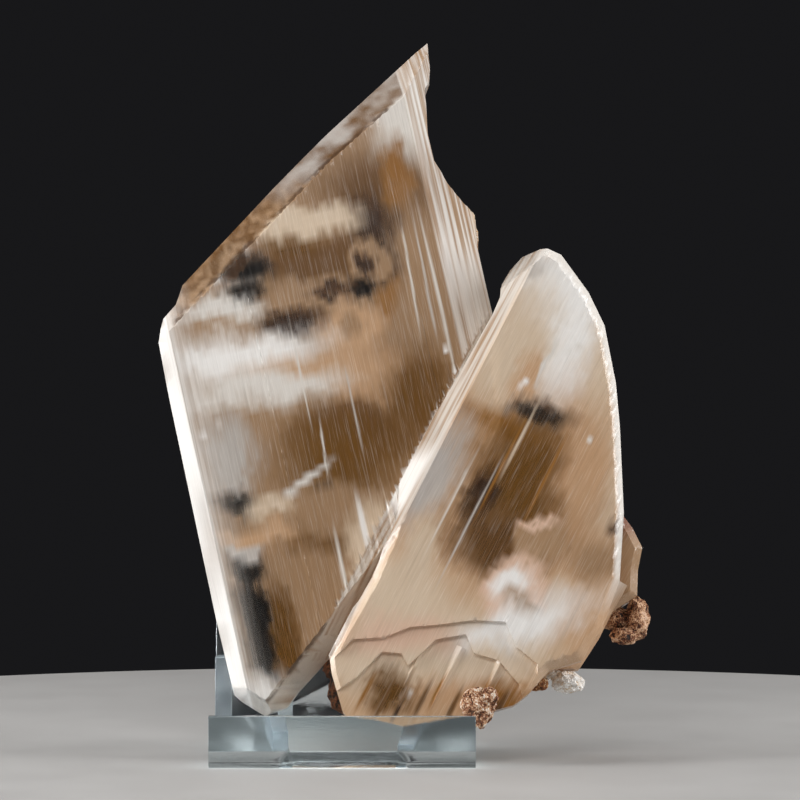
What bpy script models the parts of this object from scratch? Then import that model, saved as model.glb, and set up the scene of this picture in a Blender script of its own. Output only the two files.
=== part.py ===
"""A group of two grown-together selenite blades with scraps of its matrix, on a clear acrylic stand.

Metres, +Z up, the front faces -Y. The crystals are shaped upright in a plane of their own (x to the
right, v up that plane, y into it) and then lean back as one group against the stand's back plate.
Outlines, sections and facet points are in millimetres.
"""

import math
import random

import bmesh
import bpy
from mathutils import Matrix, Vector, noise

MM = 0.001

# Clear gap kept between two pieces that touch
TOUCH_GAP = 0.3 * MM

# The crystals lean back together, about a line along X at this height
LEAN_ANGLE = math.radians(8.0)
LEAN_PIVOT_HEIGHT = 5.0 * MM
GROUP_SHIFT_Y = -4.0 * MM

# Stand, all of one gauge of clear sheet but for its thinner lip and back plate
SHEET = 4.8 * MM
THIN_SHEET = 3.2 * MM
STAND_LEFT = -56.0 * MM
STAND_WIDTH = 76.2 * MM
STAND_FRONT_Y = -37.0 * MM
STAND_DEPTH = 74.0 * MM
LIP_HEIGHT = 15.0 * MM
CORNER_RADIUS = 2.4 * MM
CUTOUT_CENTRE_X = -17.6 * MM
CUTOUT_BOTTOM_WIDTH = 39.0 * MM
CUTOUT_TOP_WIDTH = 30.0 * MM
CUTOUT_LENGTH = 46.0 * MM
BACK_PLATE_FOOT_Y = 16.0 * MM
BACK_PLATE_HEIGHT = 68.0 * MM
BACK_PLATE_CORNER = 6.0 * MM
HOLE_PLACE = (-20.0 * MM, 19.0 * MM)
HOLE_RADIUS = 1.9 * MM
SIDE_PLATE_HEIGHT = 28.0 * MM
SIDE_PLATE_FRONT_Y = 9.5 * MM
SIDE_PLATE_SLOPE = 1.0 * MM
RIB_THICKNESS = 4.5 * MM
RIB_BACK_HEIGHT = 17.0 * MM
RIB_STEP_SLOPE = 1.5 * MM

# Each rib: place along X, height under the crystals, where it steps up behind them
RIBS = {
    "stand_rib_left": (-35.4 * MM, 10.4 * MM, 15.0 * MM),
    "stand_rib_right": (0.0 * MM, 6.8 * MM, 3.0 * MM),
}

# How far a blade's slab stands proud of the ridged section that trims its faces, and how far a
# cutter reaches past the face that it cuts
TALL_SPARE = 0.6
FRONT_SPARE = 0.5
CUTTER_REACH = 5.0

# Tall blade: its long axis stands 12.5 degrees off upright and leans to the left
TALL_AXIS_TILT = math.radians(12.5)
TALL_FRONT, TALL_BACK = -12.2, 18.0
TALL_RIM = 1.0 * MM
TALL_OUTLINE = [
    (6.7, 213.9), (7.5, 204.2), (7.3, 200.5), (6.0, 197.0), (6.9, 183.1), (8.7, 175.5),
    (13.5, 168.0), (20.6, 160.8), (21.4, 150.6), (23.8, 139.5), (26.1, 130.0), (28.2, 117.0),
    (28.1, 96.0), (16.3, 78.6), (-1.4, 57.9), (-13.2, 40.2), (-22.2, 28.8), (-30.7, 19.7),
    (-34.5, 14.6), (-40.7, 12.1), (-45.4, 14.0), (-49.8, 18.0), (-55.2, 40.2), (-69.3, 105.3),
    (-72.4, 121.3), (-71.0, 128.5), (-67.4, 132.7), (-65.7, 139.2), (-51.8, 154.2),
    (-31.1, 176.8), (-1.4, 208.4), (3.6, 212.8),
]

# Front blade: its long axis stands 27 degrees off upright and leans to the right
FRONT_AXIS_TILT = math.radians(-27.0)
FRONT_FRONT, FRONT_BACK = -24.0, 2.0
FRONT_RIM = 3.2 * MM
FRONT_OUTLINE = [
    (25.8, 128.1), (27.9, 133.1), (28.8, 140.5), (33.2, 146.8), (39.7, 147.7), (45.5, 145.0),
    (53.4, 134.0), (58.0, 124.3), (61.2, 107.5), (62.3, 94.8), (63.3, 69.3), (62.0, 50.0),
    (56.7, 35.8), (51.0, 27.0), (41.5, 24.0), (35.7, 17.5), (31.4, 14.2), (24.7, 12.3),
    (14.5, 8.9), (-1.4, 6.6), (-9.0, 8.2), (-14.4, 8.8), (-17.9, 12.3), (-21.1, 23.3),
    (-21.7, 28.3), (-17.4, 37.0), (-9.5, 51.0), (-4.3, 63.2), (-2.0, 69.3), (-1.4, 81.6),
    (2.1, 89.6), (10.3, 101.3), (16.1, 111.0),
]

# Two broken terraces step back from the front blade's face near its foot: depth, then outline
TERRACES = [
    (1.3, [(-26, 22), (-15, 33), (-6, 33.5), (1.5, 36.5), (10, 37.2), (20, 38.5), (29, 38.0),
           (32, 31), (38, 26), (40, 5), (-26, 0)]),
    (2.8, [(-26, 14), (-14, 22), (-6.5, 29.5), (-1, 29.0), (1, 25.5), (9, 33.0), (17.5, 34.5),
           (20, 29), (27, 27), (33, 20), (36, 5), (-26, 0)]),
]

# Broken ledge of the same crystal that steps out behind the front blade on the right
LEDGE_FRONT, LEDGE_BACK = -12.0, 10.0
LEDGE_RIM = 2.2 * MM
LEDGE_OUTLINE = [
    (50.0, 84.0), (62.5, 71.5), (66.5, 66.0), (69.2, 60.5), (67.9, 54.0), (67.6, 46.5),
    (60.5, 42.0), (56.5, 34.0), (51.0, 25.5), (38.0, 21.0), (24.0, 40.0),
]

# Small parallel crystals in the front blade's broken foot: lower end's x, v, y, radius, length
FINGER_TAPER = 0.72
FINGERS = [
    (-15.5, 10.8, -17.0, 3.4, 20.0), (-11.5, 11.0, -9.0, 3.2, 16.0), (-5.5, 9.6, -18.4, 3.4, 24.0),
    (0.5, 8.6, -13.0, 4.0, 18.0), (5.5, 9.4, -18.8, 3.3, 24.0), (10.5, 9.9, -16.0, 3.8, 18.0),
    (16.0, 11.6, -14.0, 3.4, 16.0), (21.0, 13.4, -18.4, 4.0, 22.0), (28.0, 15.4, -14.0, 3.8, 16.0),
    (33.5, 19.0, -18.0, 3.8, 20.0), (40.5, 25.5, -15.5, 3.4, 16.0), (53.5, 34.5, -13.0, 3.8, 18.0),
]

# Matrix scraps: nodes and the lobes that each is fused from: x, v, y, then radii along x, v, y
SCRAPS = {
    "matrix_lump_right": [
        (68.2, 40.6, 0.0, 3.9, 6.6, 5.6),
        (64.0, 35.2, -2.5, 4.6, 2.9, 4.2),
        (62.0, 40.4, 1.0, 5.0, 4.2, 4.6),
    ],
    "matrix_lump_front": [
        (21.0, 13.9, -24.6, 5.6, 5.6, 4.4),
        (24.2, 16.2, -25.0, 3.0, 3.4, 3.6),
        (21.8, 9.8, -26.2, 2.2, 3.2, 2.6),
    ],
    "white_nodule": [(47.6, 21.2, -9.5, 5.2, 3.5, 4.8), (43.6, 23.6, -8.5, 2.6, 2.2, 3.0)],
    "rust_crust": [(38.4, 20.6, -14.5, 3.6, 2.4, 3.6)],
    "edge_crust": [(18.6, 159.6, 7.9, 2.5, 3.8, 3.9), (20.3, 153.6, 8.5, 2.0, 5.2, 4.2)],
    "matrix_lump_back": [(-17.6, 19.6, 6.5, 5.6, 7.0, 6.5), (-20.0, 26.4, 7.0, 4.6, 4.0, 5.0)],
}
LOBE_FINENESS = 3
POCKET_GAP = 0.5 * MM


def remove_all_objects():
    for obj in list(bpy.data.objects):
        bpy.data.objects.remove(obj, do_unlink=True)


def new_collection(name):
    collection = bpy.data.collections.new(name)
    bpy.context.scene.collection.children.link(collection)
    return collection


def principled(name, colour, roughness, transmission=0.0, ior=1.5):
    material = bpy.data.materials.new(name)
    material.use_nodes = True
    shader = material.node_tree.nodes["Principled BSDF"]
    shader.inputs["Base Color"].default_value = (*colour, 1.0)
    shader.inputs["Roughness"].default_value = roughness
    shader.inputs["Metallic"].default_value = 0.0
    shader.inputs["Transmission Weight"].default_value = transmission
    shader.inputs["IOR"].default_value = ior
    return material


def add_object(name, mesh, collection, material=None):
    obj = bpy.data.objects.new(name, mesh)
    collection.objects.link(obj)
    if material is not None:
        mesh.materials.clear()
        mesh.materials.append(material)
    return obj


def as_cutter(obj):
    obj.hide_render = True
    obj.display_type = "WIRE"
    return obj


def boolean(target, other, operation):
    modifier = target.modifiers.new(f"{operation.lower()} {other.name}", "BOOLEAN")
    modifier.operation = operation
    modifier.solver = "EXACT"
    modifier.object = other


def flat_outline_mesh(name, points, half_thickness, rim=0.0):
    """Fills a closed outline and gives it thickness, with its rims chamfered by `rim`."""
    curve = bpy.data.curves.new(name, "CURVE")
    curve.dimensions = "2D"
    curve.fill_mode = "BOTH"
    curve.extrude = half_thickness - rim
    curve.bevel_depth = rim
    curve.bevel_resolution = 0
    curve.offset = -rim
    spline = curve.splines.new("POLY")
    spline.points.add(len(points) - 1)
    for point, (x, y) in zip(spline.points, points):
        point.co = (x, y, 0.0, 1.0)
    spline.use_cyclic_u = True
    holder = bpy.data.objects.new(name, curve)
    bpy.context.scene.collection.objects.link(holder)
    depsgraph = bpy.context.evaluated_depsgraph_get()
    mesh = bpy.data.meshes.new_from_object(holder.evaluated_get(depsgraph))
    bpy.data.objects.remove(holder, do_unlink=True)
    bpy.data.curves.remove(curve)
    weld(mesh)
    mesh.name = name
    return mesh


def weld(mesh):
    bm = bmesh.new()
    bm.from_mesh(mesh)
    bmesh.ops.remove_doubles(bm, verts=bm.verts, dist=0.01 * MM)
    bmesh.ops.recalc_face_normals(bm, faces=bm.faces)
    bm.to_mesh(mesh)
    bm.free()


def slab(name, outline, front, back, rim, collection):
    """An upright slab in the XZ plane between two depths, cut to an outline."""
    points = [(x * MM, v * MM) for x, v in outline]
    mesh = flat_outline_mesh(name, points, (back - front) / 2 * MM, rim)
    mesh.transform(Matrix.Rotation(math.radians(90), 4, "X"))
    mesh.transform(Matrix.Translation((0, (front + back) / 2 * MM, 0)))
    return add_object(name, mesh, collection)


def ridged_run(start, end, count, relief, rng):
    """Points from start towards end that rise and fall by turns, as growth ridges do."""
    (u0, y0), (u1, y1) = start, end
    length = math.hypot(u1 - u0, y1 - y0)
    out_u, out_y = (y1 - y0) / length, -(u1 - u0) / length
    points = [start]
    for index in range(count):
        t = (index + rng.uniform(0.2, 0.9)) / count
        height = relief * rng.uniform(0.1, 1.0) * (1 if index % 2 else -1)
        points.append((u0 + (u1 - u0) * t + out_u * height, y0 + (y1 - y0) * t + out_y * height))
    return points


def tall_section(rng):
    """Cross-section of the tall blade: u across its long axis, then depth, both in millimetres."""
    section = ridged_run((-40.5, TALL_FRONT), (41.5, TALL_FRONT), 66, 0.5, rng)
    section += ridged_run((41.5, TALL_FRONT), (55.8, 6.0), 15, 0.35, rng)
    section += ridged_run((55.8, 9.0), (46.0, TALL_BACK), 5, 0.3, rng)
    section += ridged_run((46.0, TALL_BACK), (-37.0, TALL_BACK), 30, 0.5, rng)
    section += [(-37.0, TALL_BACK), (-45.3, 7.0), (-45.3, -3.0)]
    return section


def front_section(rng):
    """Cross-section of the front blade: u across its long axis, then depth, both in millimetres."""
    section = ridged_run((-37.2, -14.0), (-31.0, FRONT_FRONT), 3, 0.25, rng)
    section += ridged_run((-31.0, FRONT_FRONT), (50.0, FRONT_FRONT), 60, 0.5, rng)
    section += ridged_run((50.0, FRONT_FRONT), (50.0, FRONT_BACK), 1, 0.0, rng)
    section += ridged_run((50.0, FRONT_BACK), (-30.0, FRONT_BACK), 22, 0.5, rng)
    section += [(-30.0, FRONT_BACK), (-37.2, -4.0)]
    return section


def prism_along_axis(name, section, tilt, collection, half_length=260 * MM):
    """A long prism of the section, whose axis through the origin is tilted off upright."""
    points = [(u * MM, y * MM) for u, y in section]
    mesh = flat_outline_mesh(name, points, half_length)
    mesh.transform(Matrix.Rotation(-tilt, 4, "Y"))
    return as_cutter(add_object(name, mesh, collection))


def facet_cutter(name, points, inside, collection, size=300 * MM):
    """A block whose one face is the plane through three points (x, v, y), away from inside."""
    a, b, c = (Vector((x, y, v)) * MM for x, v, y in points)
    inner = Vector((inside[0], inside[2], inside[1])) * MM
    normal = (b - a).cross(c - a).normalized()
    if normal.dot(inner - a) > 0:
        normal.negate()
    mesh = bpy.data.meshes.new(name)
    bm = bmesh.new()
    bmesh.ops.create_cube(bm, size=size)
    bm.to_mesh(mesh)
    bm.free()
    turn = normal.to_track_quat("Z", "Y").to_matrix().to_4x4()
    mesh.transform(Matrix.Translation(a + normal * size / 2) @ turn)
    return as_cutter(add_object(name, mesh, collection))


def cut_facets(blade, facets, inside, cutters):
    for name, points in facets.items():
        boolean(blade, facet_cutter(name, points, inside, cutters), "DIFFERENCE")


def tall_blade(shapes, cutters):
    front, back = TALL_FRONT - TALL_SPARE, TALL_BACK + TALL_SPARE
    blade = slab("selenite_blades", TALL_OUTLINE, front, back, TALL_RIM, shapes)
    section = tall_section(random.Random(11))
    boolean(blade, prism_along_axis("tall prism", section, TALL_AXIS_TILT, cutters), "INTERSECT")
    facets = {
        "upper left bevel": [(6.7, 218.5, 3), (-56.0, 151.5, 3), (-13.2, 183.2, TALL_FRONT)],
        "shoulder bevel": [(-36.0, 172.0, 3), (-72.0, 133.0, -7), (-45.4, 153.1, TALL_FRONT)],
        "upper left back bevel": [(6.7, 218.5, 4), (-70.0, 135.5, 6), (-22.0, 171.0, TALL_BACK)],
        "lower right bevel": [(28.0, 93.5, 4), (-33.0, 14.5, 4), (5.0, 75.0, TALL_FRONT)],
        "lower right back bevel": [(28.0, 93.5, 6), (-33.0, 14.5, 6), (0.0, 68.0, TALL_BACK)],
        "foot bevel": [(-39.0, 11.2, 2), (-51.0, 18.6, 2), (-44.9, 18.9, TALL_FRONT)],
        "foot back bevel": [(-39.0, 11.2, 4), (-51.0, 18.6, 4), (-40.0, 24.0, TALL_BACK)],
        "tip back bevel": [(6.7, 216.0, 7.0), (7.5, 204.0, 8.0), (-2.0, 206.0, 8.5)],
    }
    cut_facets(blade, facets, (-20, 110, 3), cutters)
    return blade


def front_blade(cutters):
    front, back = FRONT_FRONT - FRONT_SPARE, FRONT_BACK + FRONT_SPARE
    blade = slab("front blade", FRONT_OUTLINE, front, back, FRONT_RIM, cutters)
    section = front_section(random.Random(23))
    boolean(blade, prism_along_axis("front prism", section, FRONT_AXIS_TILT, cutters), "INTERSECT")
    facets = {
        "crest bevel": [(24.0, 134.0, -8), (40.0, 150.5, -8), (33.0, 137.0, FRONT_FRONT)],
        "front foot back bevel": [(-20.0, 11.0, -6), (34.0, 15.0, -6), (6.0, 26.0, FRONT_BACK)],
    }
    cut_facets(blade, facets, (20, 80, -11), cutters)
    for index, (depth, outline) in enumerate(TERRACES):
        name = f"terrace {index + 1}"
        reach = FRONT_FRONT - CUTTER_REACH
        step = slab(name, outline, reach, FRONT_FRONT + depth, 0.0, cutters)
        boolean(blade, as_cutter(step), "DIFFERENCE")
    return as_cutter(blade)


def finger(name, place, tilt, cutters):
    """A small six-sided crystal, slimmer towards its lower end, along the front blade's axis."""
    x, v, y, radius, length = (value * MM for value in place)
    x += math.sin(-tilt) * length / 2
    v += math.cos(tilt) * length / 2
    mesh = bpy.data.meshes.new(name)
    bm = bmesh.new()
    bmesh.ops.create_cone(
        bm, cap_ends=True, segments=6, radius1=radius * FINGER_TAPER, radius2=radius, depth=length
    )
    bm.to_mesh(mesh)
    bm.free()
    mesh.transform(Matrix.Rotation(-tilt, 4, "Y"))
    mesh.transform(Matrix.Translation((x, y, v)))
    return as_cutter(add_object(name, mesh, cutters))


def crystal_group(shapes, cutters):
    """Both blades, the ledge and the foot's small crystals, grown together as one solid."""
    group = tall_blade(shapes, cutters)
    boolean(group, front_blade(cutters), "UNION")
    ledge = slab("ledge", LEDGE_OUTLINE, LEDGE_FRONT, LEDGE_BACK, LEDGE_RIM, cutters)
    boolean(group, as_cutter(ledge), "UNION")
    for index, place in enumerate(FINGERS):
        boolean(group, finger(f"finger {index + 1}", place, FRONT_AXIS_TILT, cutters), "UNION")
    return group


def lobe(name, place, seed, collection, grow=0.0):
    """A rough pitted lobe: a ball drawn to three radii and roughened by seeded noise."""
    x, v, y, radius_x, radius_v, radius_y = place
    radii = Vector((radius_x, radius_y, radius_v)) * MM
    mesh = bpy.data.meshes.new(name)
    bm = bmesh.new()
    bmesh.ops.create_icosphere(bm, subdivisions=LOBE_FINENESS, radius=1.0)
    drift = Vector((seed * 3.1, seed * 1.7, seed * 2.3))
    for vert in bm.verts:
        way = vert.co.normalized()
        swell = 0.20 * noise.noise(way * 1.9 + drift) + 0.11 * noise.noise(way * 4.7 + drift)
        pit = 0.07 * abs(noise.noise(way * 9.0 + drift))
        vert.co = way * (1.0 + swell - pit) * radii + way * grow
    bm.to_mesh(mesh)
    bm.free()
    mesh.transform(Matrix.Translation(Vector((x, y, v)) * MM))
    return add_object(name, mesh, collection)


def scrap(name, lobes, shapes, cutters, grow=0.0):
    """One scrap of matrix, fused from its lobes; grown a little, it is its own pocket."""
    collection = cutters if grow else shapes
    label = f"{name} pocket" if grow else name
    first, *others = lobes
    body = lobe(label, first, len(name), collection, grow)
    for index, place in enumerate(others):
        seed = len(name) + index
        other = lobe(f"{label} lobe {index + 2}", place, seed, cutters, grow)
        boolean(body, as_cutter(other), "UNION")
    return body


def lean(objects):
    """Hangs the upright crystals on one empty that leans them back on the stand."""
    holder = bpy.data.objects.new("crystal lean", None)
    bpy.context.scene.collection.objects.link(holder)
    holder.location = (0, GROUP_SHIFT_Y, LEAN_PIVOT_HEIGHT)
    holder.rotation_euler = (-LEAN_ANGLE, 0, 0)
    for obj in objects:
        obj.parent = holder
        obj.location = (0, 0, -LEAN_PIVOT_HEIGHT)


def side_profile(name, points, x, thickness, collection, material):
    """A plate in the YZ plane: its outline is points (y, z) in metres, centred on x."""
    mesh = flat_outline_mesh(name, points, thickness / 2)
    mesh.transform(Matrix.Rotation(math.radians(90), 4, "X"))
    mesh.transform(Matrix.Rotation(math.radians(90), 4, "Z"))
    mesh.transform(Matrix.Translation((x, 0, 0)))
    return add_object(name, mesh, collection, material)


def stand_tray(shapes, cutters, material):
    """Floor and lip, bent from one sheet, with a central opening whose walls slope."""
    back = STAND_FRONT_Y + STAND_DEPTH
    lip_back = STAND_FRONT_Y + THIN_SHEET
    turn = [math.radians(90 * step / 4) for step in range(5)]
    bend = [
        (STAND_FRONT_Y + CORNER_RADIUS * (1 - math.sin(a)), CORNER_RADIUS * (1 - math.cos(a)))
        for a in turn
    ]
    profile = [
        *bend, (STAND_FRONT_Y, LIP_HEIGHT), (lip_back, LIP_HEIGHT), (lip_back, SHEET),
        (back, SHEET), (back, 0.0),
    ]
    middle = STAND_LEFT + STAND_WIDTH / 2
    tray = side_profile("stand_tray", profile, middle, STAND_WIDTH, shapes, material)
    half_bottom, half_top = CUTOUT_BOTTOM_WIDTH / 2, CUTOUT_TOP_WIDTH / 2
    slope = (half_bottom - half_top) / SHEET
    over = 2.0 * MM
    low, high = half_bottom + slope * over, half_top - slope * over
    opening = flat_outline_mesh(
        "opening", [(-low, -over), (low, -over), (high, SHEET + over), (-high, SHEET + over)],
        CUTOUT_LENGTH / 2,
    )
    opening.transform(Matrix.Rotation(math.radians(90), 4, "X"))
    front = lip_back + TOUCH_GAP
    opening.transform(Matrix.Translation((CUTOUT_CENTRE_X, front + CUTOUT_LENGTH / 2, 0)))
    boolean(tray, as_cutter(add_object("opening", opening, cutters)), "DIFFERENCE")
    return tray


def stand_rib(name, shapes, material):
    """An upright rib along the opening: low under the crystals, stepped up behind them."""
    x, front_height, step_y = RIBS[name]
    floor = SHEET + TOUCH_GAP
    front = STAND_FRONT_Y + THIN_SHEET + TOUCH_GAP
    foot = BACK_PLATE_FOOT_Y - TOUCH_GAP
    top_back = foot + (RIB_BACK_HEIGHT - floor) * math.tan(LEAN_ANGLE)
    profile = [
        (front, floor), (foot, floor), (top_back, RIB_BACK_HEIGHT),
        (step_y + RIB_STEP_SLOPE, RIB_BACK_HEIGHT), (step_y, front_height), (front, front_height),
    ]
    return side_profile(name, profile, x, RIB_THICKNESS, shapes, material)


def stand_side(name, x, shapes, material):
    """A short outer plate that stiffens the back plate's foot on one side."""
    floor = SHEET + TOUCH_GAP
    foot = BACK_PLATE_FOOT_Y - TOUCH_GAP
    top_back = foot + (SIDE_PLATE_HEIGHT - floor) * math.tan(LEAN_ANGLE)
    profile = [
        (SIDE_PLATE_FRONT_Y, floor), (foot, floor), (top_back, SIDE_PLATE_HEIGHT),
        (SIDE_PLATE_FRONT_Y + SIDE_PLATE_SLOPE, SIDE_PLATE_HEIGHT),
    ]
    return side_profile(name, profile, x, SHEET, shapes, material)


def stand_back_plate(shapes, cutters, material):
    """The leaning plate that the tall blade rests on, with round upper corners and a small hole."""
    half = STAND_WIDTH / 2
    across, up = half - BACK_PLATE_CORNER, BACK_PLATE_HEIGHT - BACK_PLATE_CORNER
    turn = [math.radians(90 * step / 4) for step in range(5)]
    corner = [
        (across + BACK_PLATE_CORNER * math.cos(a), up + BACK_PLATE_CORNER * math.sin(a)) for a in turn
    ]
    points = [(half, 0.0), *corner, *[(-x, z) for x, z in reversed(corner)], (-half, 0.0)]
    mesh = flat_outline_mesh("stand_back_plate", points, THIN_SHEET / 2)
    mesh.transform(Matrix.Rotation(math.radians(90), 4, "X"))
    mesh.transform(Matrix.Translation((STAND_LEFT + half, THIN_SHEET / 2, 0)))
    mesh.transform(Matrix.Rotation(-LEAN_ANGLE, 4, "X"))
    lift = THIN_SHEET * math.sin(LEAN_ANGLE)
    mesh.transform(Matrix.Translation((0, BACK_PLATE_FOOT_Y, SHEET + TOUCH_GAP + lift)))
    plate = add_object("stand_back_plate", mesh, shapes, material)
    hole_mesh = bpy.data.meshes.new("plate hole")
    bm = bmesh.new()
    bmesh.ops.create_cone(
        bm, cap_ends=True, segments=20, radius1=HOLE_RADIUS, radius2=HOLE_RADIUS, depth=6 * THIN_SHEET
    )
    bm.to_mesh(hole_mesh)
    bm.free()
    hole_mesh.transform(Matrix.Rotation(math.radians(90) - LEAN_ANGLE, 4, "X"))
    hole_x, hole_z = HOLE_PLACE
    middle_y = BACK_PLATE_FOOT_Y + THIN_SHEET / 2 + hole_z * math.tan(LEAN_ANGLE)
    hole_mesh.transform(Matrix.Translation((hole_x, middle_y, hole_z)))
    boolean(plate, as_cutter(add_object("plate hole", hole_mesh, cutters)), "DIFFERENCE")
    return plate


def build_stand(shapes, cutters):
    acrylic = principled("clear acrylic", (0.95, 0.97, 0.98), 0.04, 1.0, 1.49)
    sawn = principled("sawn acrylic", (0.85, 0.89, 0.92), 0.35, 0.8, 1.49)
    stand_tray(shapes, cutters, acrylic)
    stand_back_plate(shapes, cutters, acrylic)
    for name in RIBS:
        stand_rib(name, shapes, sawn)
    stand_side("stand_side_left", STAND_LEFT + SHEET / 2, shapes, sawn)
    stand_side("stand_side_right", STAND_LEFT + STAND_WIDTH - SHEET / 2, shapes, sawn)


def build_crystals(shapes, cutters):
    before = set(bpy.data.objects)
    group = crystal_group(shapes, cutters)
    group.data.materials.append(principled("selenite", (0.83, 0.76, 0.68), 0.12, 0.8, 1.52))
    rusty = principled("rusty matrix", (0.42, 0.24, 0.15), 0.9)
    chalk = principled("white chalk", (0.88, 0.86, 0.82), 0.85)
    for name, lobes in SCRAPS.items():
        body = scrap(name, lobes, shapes, cutters)
        body.data.materials.append(chalk if name == "white_nodule" else rusty)
        pocket = scrap(name, lobes, shapes, cutters, grow=POCKET_GAP)
        boolean(group, as_cutter(pocket), "DIFFERENCE")
    lean([obj for obj in bpy.data.objects if obj not in before])


def build():
    remove_all_objects()
    shapes = new_collection("selenite on stand")
    cutters = new_collection("cutters")
    build_stand(shapes, cutters)
    build_crystals(shapes, cutters)


build()
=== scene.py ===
import math
import random

import bmesh
import bpy
from mathutils import Matrix, Vector, noise


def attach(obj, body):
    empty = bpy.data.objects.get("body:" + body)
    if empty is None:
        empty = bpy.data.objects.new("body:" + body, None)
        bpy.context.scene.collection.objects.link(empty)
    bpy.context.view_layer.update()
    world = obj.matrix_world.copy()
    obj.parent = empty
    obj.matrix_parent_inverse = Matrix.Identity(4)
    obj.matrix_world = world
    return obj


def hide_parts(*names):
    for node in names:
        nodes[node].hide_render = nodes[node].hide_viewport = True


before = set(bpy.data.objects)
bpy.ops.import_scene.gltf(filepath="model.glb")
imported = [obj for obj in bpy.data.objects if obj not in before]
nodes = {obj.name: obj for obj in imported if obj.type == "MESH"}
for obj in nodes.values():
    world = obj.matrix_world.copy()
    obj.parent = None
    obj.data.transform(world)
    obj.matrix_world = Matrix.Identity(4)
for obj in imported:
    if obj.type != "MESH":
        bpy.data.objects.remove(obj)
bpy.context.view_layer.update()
mm = 0.001
noise.seed_set(4)    # the noise is placed by the clock otherwise


# Shader maths: a Signal wraps one output socket, so that sums on it read as ordinary sums

class Signal:
    def __init__(self, socket):
        self.socket = socket

    def maths(self, operation, *values):
        return addNode(self.socket.id_data, "ShaderNodeMath", {"operation": operation}, *values)

    def __add__(self, other):
        return self.maths("ADD", self, other)

    def __sub__(self, other):
        return self.maths("SUBTRACT", self, other)

    def __rsub__(self, other):
        return self.maths("SUBTRACT", other, self)

    def __mul__(self, other):
        return self.maths("MULTIPLY", self, other)

    def below(self, other):
        return self.maths("MINIMUM", self, other)

    def above(self, other):
        return self.maths("MAXIMUM", self, other)

    # 0 at low, 1 at high, with soft ends; low may be the larger of the two
    def ease(self, low, high):
        settings = {"interpolation_type": "SMOOTHSTEP"}
        ends = (self, low, high, 0.0, 1.0)
        return addNode(self.socket.id_data, "ShaderNodeMapRange", settings, *ends)

    __radd__ = __add__
    __rmul__ = __mul__


# one node: its settings first, then its sockets in order, then sockets by name or number
def addNode(tree, kind, settings=None, *values, out=0, sockets=None):
    node = tree.nodes.new(kind)
    for name, setting in (settings or {}).items():
        if name == "stops":
            ramp = node.color_ramp
            for extra in range(len(setting) - 2):
                ramp.elements.new(0.5)
            for element, (place, colour) in zip(ramp.elements, setting):
                element.position = place
                element.color = colour
        else:
            setattr(node, name, setting)
    filled = dict(enumerate(values))
    filled.update(sockets or {})
    for key, value in filled.items():
        if isinstance(value, Signal):
            tree.links.new(value.socket, node.inputs[key])
        elif value is not None:
            node.inputs[key].default_value = value
    return Signal(node.outputs[out]) if len(node.outputs) > 0 else None


# a material under way, with the few nodes that every finish here uses
class Finish:
    def __init__(self, name):
        self.material = bpy.data.materials.new(name)
        self.material.use_nodes = True
        self.tree = self.material.node_tree
        self.tree.nodes.clear()

    def node(self, kind, settings=None, *values, out=0, sockets=None):
        return addNode(self.tree, kind, settings, *values, out=out, sockets=sockets)

    def place(self):
        return self.node("ShaderNodeTexCoord", out="Object")

    def split(self, vector):
        return [self.node("ShaderNodeSeparateXYZ", None, vector, out=index) for index in range(3)]

    def join(self, x, y, z):
        return self.node("ShaderNodeCombineXYZ", None, x, y, z)

    def noise(self, vector, scale, detail, rough):
        sockets = {"Vector": vector, "Scale": scale, "Detail": detail, "Roughness": rough}
        return self.node("ShaderNodeTexNoise", sockets=sockets)

    def cells(self, vector, scale):
        return self.node("ShaderNodeTexVoronoi", sockets={"Vector": vector, "Scale": scale})

    def painted(self, attribute, out):
        return self.node("ShaderNodeAttribute", {"attribute_name": attribute}, out=out)

    def blend(self, factor, first, second):
        sockets = {0: factor, 2: first, 3: second}
        return self.node("ShaderNodeMix", {"data_type": "FLOAT"}, sockets=sockets)

    def tint(self, factor, first, second):
        sockets = {0: factor, 6: first, 7: second}
        return self.node("ShaderNodeMix", {"data_type": "RGBA"}, out=2, sockets=sockets)

    def ramp(self, value, stops):
        return self.node("ShaderNodeValToRGB", {"stops": stops}, value)

    def bump(self, height, distance, strength):
        sockets = {"Height": height, "Distance": distance, "Strength": strength}
        return self.node("ShaderNodeBump", sockets=sockets)

    def stretched(self, vector, amounts):
        return self.node("ShaderNodeVectorMath", {"operation": "MULTIPLY"}, vector, amounts)

    def scaled(self, vector, amount):
        return self.node("ShaderNodeVectorMath", {"operation": "SCALE"}, sockets={0: vector, "Scale": amount})

    # lets light through on its way to what lies in shadow, where the shader is clear
    def litThrough(self, shader, share, colour):
        shadowRay = self.node("ShaderNodeLightPath", out="Is Shadow Ray")
        letsLight = self.node("ShaderNodeBsdfTransparent", None, colour)
        return self.node("ShaderNodeMixShader", None, shadowRay * (1.0 - share), shader, letsLight)

    def surface(self, shader, volume=None):
        self.node("ShaderNodeOutputMaterial", None, shader, volume)
        return self.material


# a colour as a painter reads it, 0 to 255 a channel, made linear for the shaders
def tone(red, green, blue):
    def linear(level):
        share = level / 255
        return share / 12.92 if share <= 0.04045 else ((share + 0.055) / 1.055) ** 2.4
    return (linear(red), linear(green), linear(blue), 1.0)


# The plane that the crystals lean in

leaning = {"angle": math.radians(8.0), "pivotHeight": 5.0, "shiftY": -4.0}   # mm

toUpright = Matrix.Rotation(leaning["angle"], 3, "X")
toLeaning = Matrix.Rotation(-leaning["angle"], 3, "X")
leaningPivot = Vector((0.0, leaning["shiftY"], leaning["pivotHeight"]))
uprightPivot = Vector((0.0, 0.0, leaning["pivotHeight"]))

tallTilt = math.radians(12.5)     # the tall blade's axis leans to the left
frontTilt = math.radians(-27.0)   # the front blade's leans to the right


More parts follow.
